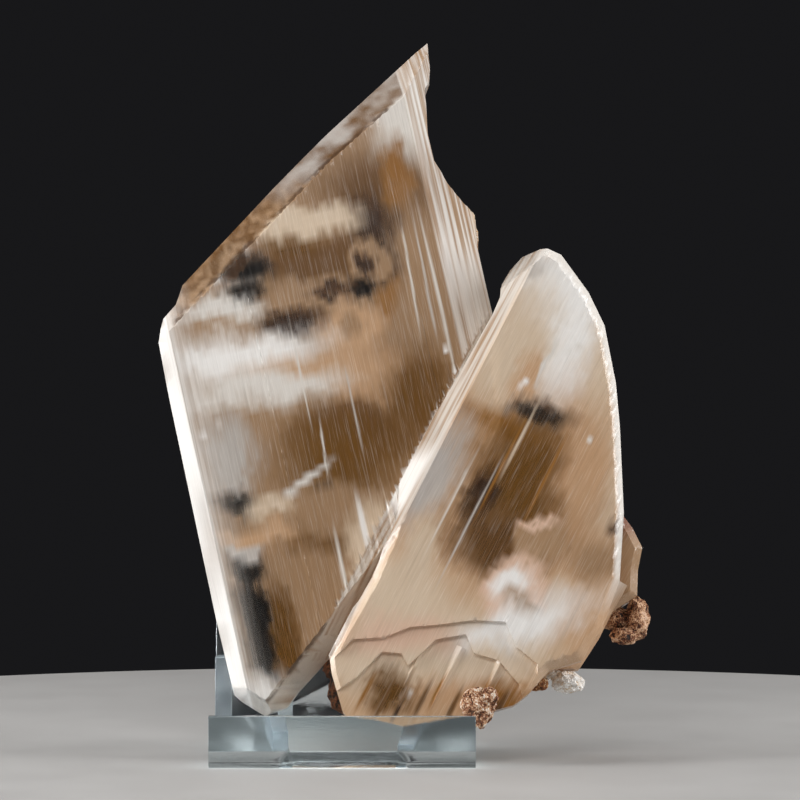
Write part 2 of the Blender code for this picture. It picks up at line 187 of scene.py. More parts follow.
# a place of the object, in metres, as x, depth and height in the leaning plane, in mm
def uprightPoint(point):
    return toUpright @ (point / mm - leaningPivot) + uprightPivot


# the same for a material
def uprightPlace(finish):
    sockets = {
        "Vector": finish.place(), "Location": uprightPivot - toUpright @ leaningPivot,
        "Rotation": (leaning["angle"], 0.0, 0.0), "Scale": (1 / mm, 1 / mm, 1 / mm),
    }
    return finish.node("ShaderNodeMapping", {"vector_type": "POINT"}, sockets=sockets)


# Each blade's face is painted by places in the picture, 800 pixels across. These tie its pixels
# to the leaning plane: the pixel that is x = 0, the pixel that is height 0, and mm to a pixel
# across and up

tallSight = {"zeroX": 404.8, "zeroY": 752.4, "across": 0.2923, "up": 0.2945}
frontSight = {"zeroX": 404.8, "zeroY": 752.5, "across": 0.2888, "up": 0.2901}


palette = {
    "snow": tone(250, 247, 243),
    "milk": tone(232, 226, 218),
    "pearl": tone(206, 199, 192),
    "cream": tone(222, 200, 174),
    "peach": tone(204, 164, 126),
    "rose": tone(226, 190, 165),
    "tan": tone(172, 138, 104),
    "gold": tone(160, 108, 42),
    "brown": tone(114, 78, 38),
    "umber": tone(72, 46, 26),
    "rust": tone(128, 72, 44),
    "olive": tone(122, 82, 26),
    "smoke": tone(50, 48, 47),
    "night": tone(30, 27, 25),
}

# Clouds and clear windows in the tall blade: centre and half size in pixels, turn in degrees
# (anticlockwise), colour, milkiness, how soft its edge is, and how far streaks break it up

tallClouds = [
    (408, 112, 36, 50, 0, "milk", 0.90, 0.9, 0.3),
    (380, 192, 58, 40, 0, "brown", 0.85, 0.8, 0.4),
    (398, 172, 13, 34, 8, "gold", 0.75, 0.8, 0.4),
    (372, 232, 26, 34, 0, "umber", 0.60, 0.8, 0.3),
    (303, 224, 56, 19, 8, "cream", 0.96, 0.5, 0.3),
    (225, 262, 28, 26, 30, "pearl", 0.90, 0.8, 0.5),
    (318, 262, 66, 22, 4, "brown", 0.88, 0.7, 0.6),
    (290, 246, 26, 12, 0, "olive", 0.70, 0.8, 0.7),
    (247, 270, 23, 13, 6, "smoke", 0.22, 0.7, 0.5),
    (243, 293, 20, 9, 10, "smoke", 0.18, 0.7, 0.5),
    (262, 281, 22, 2.2, 10, "milk", 0.95, 0.8, 0.2),
    (320, 293, 55, 12, 4, "tan", 0.88, 0.8, 0.6),
    (392, 262, 13, 40, 6, "umber", 0.50, 0.8, 0.3),
    (368, 262, 20, 20, 0, "tan", 0.90, 0.3, 0.0),
    (364, 262, 9, 9, 0, "umber", 0.60, 0.6, 0.0),
    (364, 288, 14, 11, 0, "night", 0.35, 0.8, 0.2),
    (390, 300, 12, 20, 0, "gold", 0.85, 0.9, 0.3),
    (334, 296, 22, 8, 0, "umber", 0.60, 0.8, 0.6),
    (220, 312, 40, 14, 6, "milk", 0.96, 0.8, 0.5),
    (288, 323, 34, 13, 2, "umber", 0.50, 0.7, 0.4),
    (352, 330, 32, 28, 0, "peach", 0.95, 0.6, 0.3),
    (350, 328, 12, 14, 0, "tan", 0.88, 0.9, 0.3),
    (242, 358, 80, 22, 8, "snow", 0.97, 0.8, 0.5),
    (335, 372, 80, 20, 4, "peach", 0.93, 0.9, 0.4),
    (262, 392, 78, 18, 6, "milk", 0.95, 0.8, 0.7),
    (372, 394, 40, 12, 4, "peach", 0.93, 0.8, 0.4),
    (250, 440, 44, 34, 0, "tan", 0.88, 0.9, 0.8),
    (355, 432, 52, 30, 0, "brown", 0.85, 0.7, 0.5),
    (345, 455, 66, 36, 0, "olive", 0.85, 0.9, 0.6),
    (230, 462, 26, 44, 8, "pearl", 0.82, 0.9, 1.2),
    (238, 505, 24, 14, 0, "smoke", 0.30, 0.8, 0.8),
    (322, 486, 12, 5, 0, "night", 0.45, 0.8, 0.5),
    (330, 505, 60, 18, 0, "tan", 0.88, 0.8, 0.5),
    (270, 508, 26, 12, 14, "cream", 0.95, 0.8, 0.8),
    (246, 541, 38, 8, 6, "peach", 0.95, 0.5, 0.3),
    (275, 535, 20, 12, 0, "peach", 0.95, 0.8, 0.5),
    (320, 545, 36, 10, 0, "olive", 0.70, 0.8, 0.9),
    (312, 590, 44, 44, 0, "tan", 0.88, 0.9, 0.6),
    (246, 566, 18, 14, 10, "smoke", 0.22, 0.6, 0.5),
    (261, 632, 20, 62, 13, "smoke", 0.18, 0.5, 0.5),
    (290, 640, 12, 58, 13, "olive", 0.70, 0.8, 0.8),
    (372, 548, 24, 44, 0, "cream", 0.95, 0.9, 1.0),
    (420, 300, 26, 90, 8, "tan", 0.88, 0.9, 0.6),
    (420, 395, 34, 44, 0, "olive", 0.85, 0.9, 0.9),
    # The snow at the blade's foot is partly its milky colour, partly painted glow of light that enters and
    # scatters at the bottom
    (258, 700, 50, 26, 0, "snow", 0.98, 0.7, 0.3),
    (305, 481, 30, 3.4, 36, "milk", 0.95, 0.9, 0.2),
    (210, 432, 12, 2.0, 35, "snow", 0.98, 0.9, 0.2),
    (411, 280, 1.1, 52, 9.6, "milk", 0.98, 0.9, 0.6),
    (425, 278, 1.0, 58, 11, "pearl", 0.98, 0.9, 0.8),
    (436, 285, 1.2, 64, 13, "milk", 0.98, 0.9, 0.6),
    (447, 340, 1.0, 34, 13, "milk", 0.98, 0.9, 0.8),
    (324, 450, 1.0, 26, 8, "milk", 0.98, 0.9, 0.4),
    (352, 400, 1.0, 44, 12, "pearl", 0.95, 0.9, 0.9),
    (300, 372, 1.0, 48, 12, "milk", 0.95, 0.9, 0.9),
    (364, 528, 3.0, 30, 12, "snow", 0.95, 0.9, 0.9),
    (343, 570, 2.0, 36, 12, "milk", 0.95, 0.9, 0.9),
    (456, 372, 3.0, 3.0, 0, "snow", 0.98, 0.9, 0.3),
    (446, 352, 2.4, 2.4, 0, "snow", 0.98, 0.9, 0.3),
    (243, 582, 15, 2.0, 18, "milk", 0.95, 0.9, 0.3),
    (245, 554, 14, 6.0, 6, "pearl", 0.90, 0.7, 0.3),
]

frontClouds = [
    (440, 655, 120, 52, 8, "cream", 0.95, 0.9, 0.3),
    (545, 275, 46, 32, -10, "milk", 0.95, 0.7, 0.2),
    (522, 268, 22, 14, 0, "pearl", 0.60, 0.5, 0.2),
    (568, 318, 44, 78, -14, "snow", 0.97, 0.9, 0.3),
    (515, 345, 36, 60, -27, "cream", 0.92, 0.9, 0.5),
    (527, 375, 14, 26, -27, "peach", 0.95, 0.8, 0.4),
    (610, 420, 26, 110, 0, "cream", 0.95, 0.9, 0.3),
    (543, 415, 36, 12, -16, "smoke", 0.30, 0.8, 0.7),
    (515, 432, 62, 13, -20, "gold", 0.85, 0.8, 0.4),
    (530, 482, 62, 58, -10, "olive", 0.72, 0.9, 0.7),
    (585, 470, 28, 64, -10, "peach", 0.90, 0.9, 0.5),
    (480, 498, 14, 30, -27, "umber", 0.45, 0.8, 0.5),
    (432, 478, 22, 56, -27, "pearl", 0.80, 0.9, 0.9),
    (500, 545, 50, 34, -20, "brown", 0.70, 0.9, 0.6),
    (536, 543, 26, 24, 0, "tan", 0.95, 0.3, 0.0),
    (534, 524, 22, 4, -8, "rose", 0.97, 0.8, 0.2),
    (514, 590, 36, 30, 24, "rose", 0.98, 0.3, 0.0),
    (512, 584, 20, 12, 20, "snow", 0.98, 0.9, 0.3),
    (525, 606, 20, 9, -30, "tan", 0.88, 0.8, 0.2),
    (560, 600, 14, 24, -25, "cream", 0.95, 0.7, 0.2),
    (590, 600, 34, 60, -32, "peach", 0.94, 0.9, 0.3),
    (498, 638, 90, 24, 24, "snow", 0.97, 0.9, 0.3),
    (400, 600, 46, 50, -20, "cream", 0.95, 0.9, 0.4),
    (418, 556, 16, 34, -27, "cream", 0.90, 0.9, 0.8),
    (400, 640, 52, 24, 0, "rose", 0.96, 0.9, 0.3),
    (440, 665, 100, 20, 4, "cream", 0.95, 0.9, 0.3),
    (432, 700, 74, 24, 0, "peach", 0.92, 0.9, 0.8),
    (392, 692, 22, 22, -20, "olive", 0.60, 0.9, 0.8),
    (500, 698, 30, 20, 0, "gold", 0.85, 0.9, 0.7),
    (407, 694, 7, 5, 30, "snow", 0.98, 0.8, 0.5),
    (382, 702, 2.6, 20, -27, "brown", 0.85, 0.9, 0.5),
    (396, 712, 2.0, 16, -27, "umber", 0.80, 0.9, 0.5),
    (421, 700, 2.6, 22, -27, "brown", 0.85, 0.9, 0.5),
    (437, 690, 2.0, 18, -27, "gold", 0.85, 0.9, 0.5),
    (452, 706, 2.6, 20, -27, "brown", 0.85, 0.9, 0.5),
    (366, 690, 2.2, 20, -27, "gold", 0.85, 0.9, 0.5),
    (500, 704, 3.0, 16, -27, "brown", 0.85, 0.9, 0.5),
    (576, 348, 8, 3.0, 10, "milk", 0.98, 0.9, 0.3),
    (524, 383, 5, 3.0, 20, "snow", 0.98, 0.9, 0.3),
    (590, 440, 3.4, 2.4, 30, "milk", 0.98, 0.9, 0.3),
    (546, 362, 4, 26, -27, "milk", 0.92, 0.9, 0.3),
    (470, 520, 1.1, 60, -27, "pearl", 0.94, 0.9, 0.9),
    (452, 500, 1.2, 50, -27, "milk", 0.95, 0.9, 0.9),
    (500, 470, 1.5, 50, -27, "gold", 0.90, 0.9, 0.9),
    (545, 480, 1.5, 44, -27, "gold", 0.90, 0.9, 0.9),
    (520, 440, 1.5, 40, -27, "cream", 0.90, 0.9, 0.9),
    (600, 560, 30, 20, 0, "tan", 0.88, 0.9, 0.3),
    (630, 527, 16, 12, 0, "umber", 0.85, 0.7, 0.2),
]


# The crystals' mesh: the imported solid, refined with growth lines and steps

crystalCut = {
    "across": 0.42,        # mm between growth lines
    "along": 1.9,          # mm between the cuts that let a line wander
    "relief": 0.012,       # mm, deepest fine line
    "step": 0.006,         # mm, height of a plateau's edge
    "flat": 0.15,          # faces that look less than this to the front or back aren't cut
    "tall": ((-41.0, 56.0), (5.0, 222.0)),       # mm, from where to where, across and along
    "front": ((-37.5, 52.0), (-10.0, 162.0)),
    "smooth": 20.0,        # degrees, flatter edges are shaded smooth
}

# in mm: the front blade's left edge, its back, and where the tall blade no longer lies behind it
frontBounds = {"leftEdge": -37.35, "back": 2.7, "free": 45.0}


def acrossAxis(point, tilt):
    return point.x * math.cos(tilt) + point.z * math.sin(tilt)


def alongAxis(point, tilt):
    return point.z * math.cos(tilt) - point.x * math.sin(tilt)


def isFrontBlade(point):
    nearSide = point.y < frontBounds["back"] or point.x > frontBounds["free"]
    return nearSide and acrossAxis(point, frontTilt) > frontBounds["leftEdge"]


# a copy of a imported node, its loose triangles merged, ready to refine
def copyOf(name, piece):
    bpy.ops.object.select_all(action="DESELECT")
    copy = nodes[name].copy()
    copy.data = nodes[name].data.copy()
    copy.name = piece
    copy.data.name = piece
    copy.data.materials.clear()
    bpy.context.scene.collection.objects.link(copy)
    copy.hide_render = False
    copy.select_set(True)
    bpy.context.view_layer.objects.active = copy
    bpy.ops.object.mode_set(mode="EDIT")
    bpy.ops.mesh.select_all(action="SELECT")
    bpy.ops.mesh.remove_doubles(threshold=0.005 * mm)
    bpy.ops.object.mode_set(mode="OBJECT")
    return copy


# cuts one blade's flat faces along and across its axis
def cutGrowthLines(mesh, tilt, wanted, spans):
    zero = (leaningPivot - toLeaning @ uprightPivot) * mm
    across = toLeaning @ Vector((math.cos(tilt), 0.0, math.sin(tilt)))
    along = toLeaning @ Vector((-math.sin(tilt), 0.0, math.cos(tilt)))
    rng = random.Random(5)
    for way, (place, last), gap in ((across, spans[0], "across"), (along, spans[1], "along")):
        faces = [face for face in mesh.faces if wanted(face)]
        while place < last:
            parts = set(faces)
            for face in faces:
                parts.update(face.edges)
                parts.update(face.verts)
            cut = bmesh.ops.bisect_plane(
                mesh, geom=list(parts), dist=0.002 * mm, plane_co=zero + way * place * mm, plane_no=way)
            faces = [part for part in cut["geom"] if isinstance(part, bmesh.types.BMFace)]
            place += crystalCut[gap] * rng.uniform(0.5, 1.5)


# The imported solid's growth ridges are coarse, up to 0.5 mm high. These lines, (across, depth) in
# mm, run through the middle of them, and the ridges are pressed nearly flat onto them
ridgeLines = {
    "tall": [((-40.5, -12.2), (41.5, -12.2)), ((41.5, -12.2), (55.8, 6.0)),
             ((55.8, 9.0), (46.0, 18.0)), ((46.0, 18.0), (-37.0, 18.0))],
    "front": [((-37.2, -14.0), (-31.0, -24.0)), ((-31.0, -24.0), (50.0, -24.0)), ((50.0, 2.0), (-30.0, 2.0))],
    "kept": 0.06,      # share of a ridge's height that stays
    "tallest": 0.56,   # mm, what stands off further is no ridge
    "pastEnd": 0.1,    # mm that a line still counts past its ends
}


# how far a point of the leaning plane moves to lie near its blade's ridge line
def pressed(point, lines, tilt):
    place = Vector((acrossAxis(point, tilt), point.y))
    for start, end in lines:
        start, run = Vector(start), Vector(end) - Vector(start)
        length, past = run.length, ridgeLines["pastEnd"]
        run.normalize()
        out = Vector((run.y, -run.x))
        away = (place - start).dot(out)
        beside = -past < (place - start).dot(run) < length + past
        if beside and abs(away) < ridgeLines["tallest"]:
            shift = out * away * (ridgeLines["kept"] - 1.0)
            return Vector((shift.x * math.cos(tilt), shift.y, shift.x * math.sin(tilt)))
    return Vector((0.0, 0.0, 0.0))


# how deep the growth lines go at a place, in mm, never above the face; the noise runs far along
# the axis and turns over quickly across it
def growthDepth(across, along, seed):
    fine = noise.noise(Vector((across * 1.9, along * 0.035, seed)))
    middle = noise.noise(Vector((across * 0.55, along * 0.014, seed + 7.0)))
    plateau = noise.noise(Vector((across * 0.16, along * 0.012, seed + 19.0))) * 3.0
    plateau -= math.floor(plateau * 2.0) / 2.0
    ripple = crystalCut["relief"] * (1.0 + 0.6 * fine + 0.4 * middle) / 2.0
    return ripple + crystalCut["step"] * max(0.0, min(1.0, plateau * 2.0))


def growBlades():
    crystals = copyOf("selenite_blades", "bladesInDetail")
    bpy.ops.object.mode_set(mode="EDIT")
    bpy.ops.mesh.select_all(action="SELECT")
    bpy.ops.mesh.dissolve_limited(angle_limit=math.radians(0.4))
    bpy.ops.object.mode_set(mode="OBJECT")

    def flatAndOf(front):
        def wanted(face):
            facing = (toUpright @ face.normal).y
            onBlade = isFrontBlade(uprightPoint(face.calc_center_median())) == front
            return onBlade and abs(facing) > crystalCut["flat"]
        return wanted

    grown = bmesh.new()
    grown.from_mesh(crystals.data)
    cutGrowthLines(grown, tallTilt, flatAndOf(False), crystalCut["tall"])
    cutGrowthLines(grown, frontTilt, flatAndOf(True), crystalCut["front"])
    grown.to_mesh(crystals.data)
    grown.free()
    vertices = crystals.data.vertices
    facings = [(toUpright @ vertex.normal).y for vertex in vertices]
    for vertex, facing in zip(vertices, facings):
        point = uprightPoint(vertex.co)
        if isFrontBlade(point):
            lines, tilt, seed = ridgeLines["front"], frontTilt, 3.0
        else:
            lines, tilt, seed = ridgeLines["tall"], tallTilt, 11.0
        vertex.co += toLeaning @ pressed(point, lines, tilt) * mm
        depth = growthDepth(acrossAxis(point, tilt), alongAxis(point, tilt), seed)
        if abs(facing) > 0.6:    # the broad faces
            vertex.co += toLeaning @ Vector((0.0, -math.copysign(depth, facing), 0.0)) * mm
    bpy.ops.object.shade_smooth_by_angle(angle=math.radians(crystalCut["smooth"]))
    print("blades:", len(crystals.data.polygons), "faces")
    return crystals


# 0 at low, 1 at high, with soft ends; low may be the larger of the two
def eased(value, low, high):
    share = max(0.0, min(1.0, (value - low) / (high - low)))
    return share * share * (3.0 - 2.0 * share)


def mixed(first, second, share):
    return [a + (b - a) * share for a, b in zip(first, second)]


def between(first, second, share):
    return mixed(palette[first], palette[second], share)


# lays a colour and its milkiness over a painted value, whose fourth number is the milkiness
def overlaid(value, colour, milk, share):
    return mixed(value, [*colour[:3], milk], share)


# How the clouds' edges are pushed about, in mm: by turbulence, as (waves to a mm, how far), and by
# streaks along the blade's axis
cloudEdges = {
    "turbulence": ((0.12, 3.0), (0.45, 1.5), (1.2, 0.6)),
    "dashes": 0.25,
    "streaks": 0.7,
    "steady": 3.5,     # pixels, what is narrower is a scratch or fleck and stays where it is
}


# what is painted at a place, one cloud over another
def cloudsAt(point, sight, tilt, clouds, base):
    across, along = acrossAxis(point, tilt), alongAxis(point, tilt)
    dash = noise.noise(Vector((across * 3.1, along * 0.28, point.y * 0.4)))
    streak = noise.noise(Vector((across * 0.9, along * 0.05, point.y * 0.2 + 9.0)))
    drift = Vector((0.0, 0.0, 0.0))
    for waves, far in cloudEdges["turbulence"]:
        drift += noise.noise_vector(point * waves) * far
    reach = dash * cloudEdges["dashes"] + streak * cloudEdges["streaks"]
    column = sight["zeroX"] + (point.x + drift.x - reach * math.sin(tilt)) / sight["across"]
    row = sight["zeroY"] - (point.z + drift.z + reach * math.cos(tilt)) / sight["up"]
    value = base
    for cloudX, cloudY, halfX, halfY, turn, shade, milk, soft, broken in clouds:
        right, up = column - cloudX, cloudY - row
        if min(halfX, halfY) < cloudEdges["steady"]:
            right = sight["zeroX"] + point.x / sight["across"] - cloudX
            up = cloudY - sight["zeroY"] + point.z / sight["up"]
        outOfReach = 2.5 * (halfX + halfY)
        if abs(right) > outOfReach or abs(up) > outOfReach:
            continue
        cosine, sine = math.cos(math.radians(turn)), math.sin(math.radians(turn))
        away = math.hypot((right * cosine + up * sine) / halfX, (up * cosine - right * sine) / halfY)
        mask = eased(away + dash * broken * 0.2, 1.0 + soft * 0.65, 1.0 - soft * 0.65)
        if mask > 0.0:
            value = overlaid(value, palette[shade], milk, mask)
    return value


# Where the tall blade's borders are painted: each look begins at the first number and is full at
# the second. Across the blade and up, in mm; facing is the slant, -1 to the front and 1 to the back
tallBorders = {
    "rightFacet": (41.2, 42.2),
    "rightRim": (53.0, 55.0),
    "leftEdge": (-38.6, -41.2),
    "besideLeftEdge": (-31.0, -40.0),
    "bevelDepth": (-12.1, -10.6),
    "bevelFacing": (0.95, 0.8),
    "glassAbove": (158.0, 176.0),       # the upper bevel is glass at its top
    "crumbsAbove": (70.0, 100.0),       # crumbly below that, and milky at the foot, where the milk is partly painted glow of light scattered in at the bottom
    "paintedSheenBelow": (165.0, 140.0),      # the right facet has more painted sheen lower down
}


def tallLook(point, facing):
    value = cloudsAt(point, tallSight, tallTilt, tallClouds, [*palette["tan"][:3], 0.85])
    across = acrossAxis(point, tallTilt)
    rightFacet = eased(across, *tallBorders["rightFacet"])
    leftEdge = eased(across, *tallBorders["leftEdge"])
    bevel = eased(point.y, *tallBorders["bevelDepth"]) * eased(facing, *tallBorders["bevelFacing"])
    bevel *= (1.0 - rightFacet) * (1.0 - leftEdge)
    patch = noise.noise(point * 0.12) + 0.25 * noise.noise(point * 0.4)
    glassy = between("brown", "pearl", eased(patch, -0.6, 0.6))
    crumbs = between("brown", "tan", eased(noise.noise(point * 0.35), -0.3, 0.5))
    glassy = mixed(crumbs, glassy, eased(point.z, *tallBorders["glassAbove"]))
    # milk at the foot: partly the crystal's milky colour, partly painted glow on the faces that point down
    glassy = mixed(palette["milk"], glassy, eased(point.z, *tallBorders["crumbsAbove"]))
    value = overlaid(value, glassy, 0.70, bevel)
    line = noise.noise(Vector((across * 2.6, alongAxis(point, tallTilt) * 0.03, 2.0)))
    # Painted sheen: the right facet is lightened from tan to snow along its striations, standing in for their
    # highlights, more of it lower down
    lift = 0.35 * eased(point.z, *tallBorders["paintedSheenBelow"])
    paintedSheen = between("tan", "snow", eased(line + lift, -0.35, 0.45))
    value = overlaid(value, paintedSheen, 0.86, rightFacet * 0.85)
    value = overlaid(value, palette["cream"], 0.96, eased(across, *tallBorders["rightRim"]))
    # The left edge and the strip beside it are painted pale, pearl to snow: partly the crystal's own milky
    # edge, partly painted glow of the side light that enters and scatters there
    pale = between("pearl", "snow", eased(line, -0.3, 0.2))
    value = overlaid(value, pale, 0.90, eased(across, *tallBorders["besideLeftEdge"]) * 0.55)
    return overlaid(value, pale, 0.95, leftEdge)


# The same for the front blade
frontBorders = {
    "rimDepth": (-23.7, -22.6),         # the milky rim lies between the front and back faces
    "rimBack": (1.7, 0.4),
    "rimLeft": (-33.0, -30.0),
    "rimRight": (46.0, 48.5),
    "rimTop": (60.0, 80.0),
    "leftFacet": (-30.6, -32.5),
    "paintedGlintHeight": 79.0,               # where the painted reflection on the left edge is brightest
    "paintedGlintHalf": (13.0, 5.0),          # and how far from there it fades
    "paintedGlintEdge": (-31.0, -34.0),
    "ledgeDepth": (-17.0, -14.0),       # the rusty ledge behind the right side
    "ledgeRight": (58.5, 61.0),
    "ledgeTop": (77.0, 73.0),
    "ledgeStain": (69.0, 61.0),
}


def frontLook(point):
    value = cloudsAt(point, frontSight, frontTilt, frontClouds, [*palette["peach"][:3], 0.9])
    across, along = acrossAxis(point, frontTilt), alongAxis(point, frontTilt)
    rim = eased(point.y, *frontBorders["rimDepth"]) * eased(point.y, *frontBorders["rimBack"])
    rim *= eased(across, *frontBorders["rimLeft"])
    rim *= max(eased(across, *frontBorders["rimRight"]), eased(along, *frontBorders["rimTop"]))
    value = overlaid(value, palette["milk"], 0.96, rim)
    line = noise.noise(Vector((across * 1.8, along * 0.04, 6.0)))
    glass = between("tan", "milk", eased(line, -0.5, 0.2))
    value = overlaid(value, glass, 0.72, eased(across, *frontBorders["leftFacet"]))
    # Painted reflection: a snow-white patch on the front blade's left edge, standing in for light reflected
    # where the blades meet
    paintedGlint = 0.8 * eased(abs(point.z - frontBorders["paintedGlintHeight"]), *frontBorders["paintedGlintHalf"])
    paintedGlint *= eased(across, *frontBorders["paintedGlintEdge"])
    value = overlaid(value, palette["snow"], 0.98, paintedGlint)
    stain = between("rust", "tan", eased(point.z, *frontBorders["ledgeStain"]))
    ledge = eased(point.y, *frontBorders["ledgeDepth"]) * eased(point.x, *frontBorders["ledgeRight"])
    ledge *= eased(point.z, *frontBorders["ledgeTop"])
    return overlaid(value, stain, 0.92, ledge)


# paints every point of the crystals' mesh, for their material to read
def paintClouds(crystals):
    colours, milks = [], []
    for vertex in crystals.data.vertices:
        point = uprightPoint(vertex.co)
        facing = (toUpright @ vertex.normal).y
        red, green, blue, milk = frontLook(point) if isFrontBlade(point) else tallLook(point, facing)
        colours.extend((red, green, blue, 1.0))
        milks.append(milk)
    tint = crystals.data.attributes.new("cloudColour", "FLOAT_COLOR", "POINT")
    tint.data.foreach_set("color", colours)
    thickness = crystals.data.attributes.new("milkiness", "FLOAT", "POINT")
    thickness.data.foreach_set("value", milks)


crystalLook = {
    "index": 1.52,                             # how strongly the crystal bends light
    "milkyRough": 0.30,
    "clearRough": 0.12,
    "clearTint": (1.0, 0.98, 0.95, 1.0),
    "shadowTint": (0.95, 0.92, 0.88, 1.0),
    "insideTint": (0.93, 0.82, 0.66, 1.0),     # what light keeps on its way through
    "insideDensity": 14.0,                     # per metre
    "relief": 0.06,                            # mm, the streaks' bump
}


# clear crystal and milky crystal, mixed by the painted milkiness
def seleniteFinish():
    finish = Finish("selenite")
    x, depth, height = finish.split(uprightPlace(finish))
    acrossTall = x * math.cos(tallTilt) + height * math.sin(tallTilt)
    alongTall = height * math.cos(tallTilt) - x * math.sin(tallTilt)
    acrossFront = x * math.cos(frontTilt) + height * math.sin(frontTilt)
    alongFront = height * math.cos(frontTilt) - x * math.sin(frontTilt)
    nearSide = (depth.ease(3.2, 2.4) + x.ease(44.0, 46.0)).below(1.0)
    onFront = acrossFront.ease(-37.6, -37.3) * nearSide
    across = finish.blend(onFront, acrossTall, acrossFront)
    along = finish.blend(onFront, alongTall, alongFront)

    # growth streaks, long and fine, and short dashes, with waves to a mm across and along
    fine = finish.noise(finish.join(across * 2.6, depth * 2.6, along * 0.06), 1.0, 3.0, 0.6)
    broad = finish.noise(finish.join(across * 0.6, depth * 0.6, along * 0.012), 1.0, 3.0, 0.6)
    dashes = finish.noise(finish.join(across * 4.0, depth * 4.0, along * 0.12), 1.0, 2.0, 0.6)
    streaked = fine * 0.55 + broad * 0.45

    painted = finish.painted("cloudColour", "Color")
    milk = finish.painted("milkiness", "Fac")
    milk = (milk * 0.84).above(milk * 1.3 - 0.39) + (streaked - 0.5) * 0.12 + (dashes - 0.5) * 0.24
    milk = milk.above(0.02).below(0.98)
    darker = finish.tint(0.09, painted, palette["umber"])
    colour = finish.tint(streaked.ease(0.30, 0.46), darker, painted)
    colour = finish.tint((dashes * 0.6 + fine * 0.4).ease(0.50, 0.66) * 0.16, colour, palette["snow"])

    # the brown band along the upper bevel's lower edge, by depth and across, in mm
    patches = finish.noise(finish.place(), 160.0, 3.0, 0.6)
    band = depth.ease(-12.05, -11.8) * depth.ease(-8.5, -10.8)
    band = band * acrossTall.ease(41.5, 40.5) * acrossTall.ease(-39.5, -37.5)
    band = band * (1.0 - onFront) * patches.ease(0.40, 0.52)
    colour = finish.tint(band * 0.8, colour, palette["umber"])

    ripple = fine * 0.4 + broad * 0.2 + dashes * 0.4
    normal = finish.bump(ripple, crystalLook["relief"] * mm, 0.6)
    milky = finish.node("ShaderNodeBsdfPrincipled", sockets={
        "Base Color": colour, "Roughness": crystalLook["milkyRough"], "IOR": crystalLook["index"],
        "Normal": normal,
    })
    clear = finish.node("ShaderNodeBsdfPrincipled", sockets={
        "Base Color": finish.tint(0.75, crystalLook["clearTint"], colour),
        "Roughness": crystalLook["clearRough"], "IOR": crystalLook["index"], "Transmission Weight": 1.0,
        "Normal": normal,
    })
    body = finish.node("ShaderNodeMixShader", None, milk, clear, milky)
    body = finish.litThrough(body, milk, crystalLook["shadowTint"])
    inside = finish.node(
        "ShaderNodeVolumeAbsorption", None, crystalLook["insideTint"], crystalLook["insideDensity"])
    return finish.surface(body, inside)


# Matrix scraps: rough iron-stained lumps. Each node's piece, slot, and tones from crevice to crown

scraps = {
    "matrix_lump_right": ("pinkMatrixLump", "rusty_matrix", ("night", "rust", "peach", "rose")),
    "matrix_lump_front": ("speckledMatrixLump", "rusty_matrix", ("umber", "rust", "peach", "milk")),
    "matrix_lump_back": ("darkMatrixLump", "rusty_matrix", ("night", "umber", "rust", "brown")),
    "rust_crust": ("rustyCrust", "rusty_matrix", ("umber", "rust", "gold", "cream")),
    "edge_crust": ("creamCrust", "rusty_matrix", ("rust", "gold", "cream", "milk")),
    "white_nodule": ("chalkyNodule", "white_chalk", ("cream", "milk", "snow", "snow")),
}

scrapSurface = {
    "cuts": 4,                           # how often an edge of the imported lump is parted
    "swells": (0.8, 0.45),               # waves to a mm, and mm deep
    "creases": (1.9, 0.40),
    "grain": (4.5, 0.12),
    "middle": 0.32,                      # mm, a dent that neither darkens nor lightens
    "steps": (0.40, 0.47, 0.55, 0.62),   # where each tone stands on the ramp
    "relief": 0.8,                       # mm, the bump
}


def scrapFinish(name, tones):
    finish = Finish(name)
    point = finish.scaled(finish.place(), 1 / mm)
    lumps = finish.noise(point, 0.28, 5.0, 0.66)
    grains = finish.cells(point, 1.1)
    specks = finish.noise(point, 2.4, 3.0, 0.6)
    hollow = finish.painted("hollow", "Fac")
    level = lumps * 0.55 + specks * 0.50 - (hollow - scrapSurface["middle"]) * 0.45
    stops = [(step, palette[shade]) for step, shade in zip(scrapSurface["steps"], tones)]
    normal = finish.bump(lumps * 0.4 + grains * 0.4 + specks * 0.2, scrapSurface["relief"] * mm, 0.9)
    shader = finish.node("ShaderNodeBsdfPrincipled", sockets={
        "Base Color": finish.ramp(level, stops), "Roughness": specks * 0.3 + 0.7, "Normal": normal,
    })
    return finish.surface(shader)


# how deep a scrap is dented at a place, in mm
def dentAt(point):
    swells, creases, grain = scrapSurface["swells"], scrapSurface["creases"], scrapSurface["grain"]
    dent = swells[1] * (0.5 + 0.5 * noise.noise(point * swells[0]))
    dent += creases[1] * abs(noise.noise(point * creases[0]))
    return dent + grain[1] * (0.5 + 0.5 * noise.noise(point * grain[0]))


def roughenScrap(name, piece, tones):
    lump = copyOf(name, piece)
    bpy.ops.object.mode_set(mode="EDIT")
    bpy.ops.mesh.select_all(action="SELECT")
    bpy.ops.mesh.subdivide(number_cuts=scrapSurface["cuts"], smoothness=0.0)
    bpy.ops.object.mode_set(mode="OBJECT")
    vertices = lump.data.vertices
    normals = [vertex.normal.copy() for vertex in vertices]
    hollows = [dentAt(vertex.co / mm) for vertex in vertices]
    for vertex, normal, dent in zip(vertices, normals, hollows):
        vertex.co -= normal * dent * mm
    deep = lump.data.attributes.new("hollow", "FLOAT", "POINT")
    deep.data.foreach_set("value", hollows)
    lump.data.materials.append(scrapFinish(piece, tones))
    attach(lump, "root")
    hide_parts(name)


# The clear stand: its polished sheets, and the ones whose sawn faces are frosted

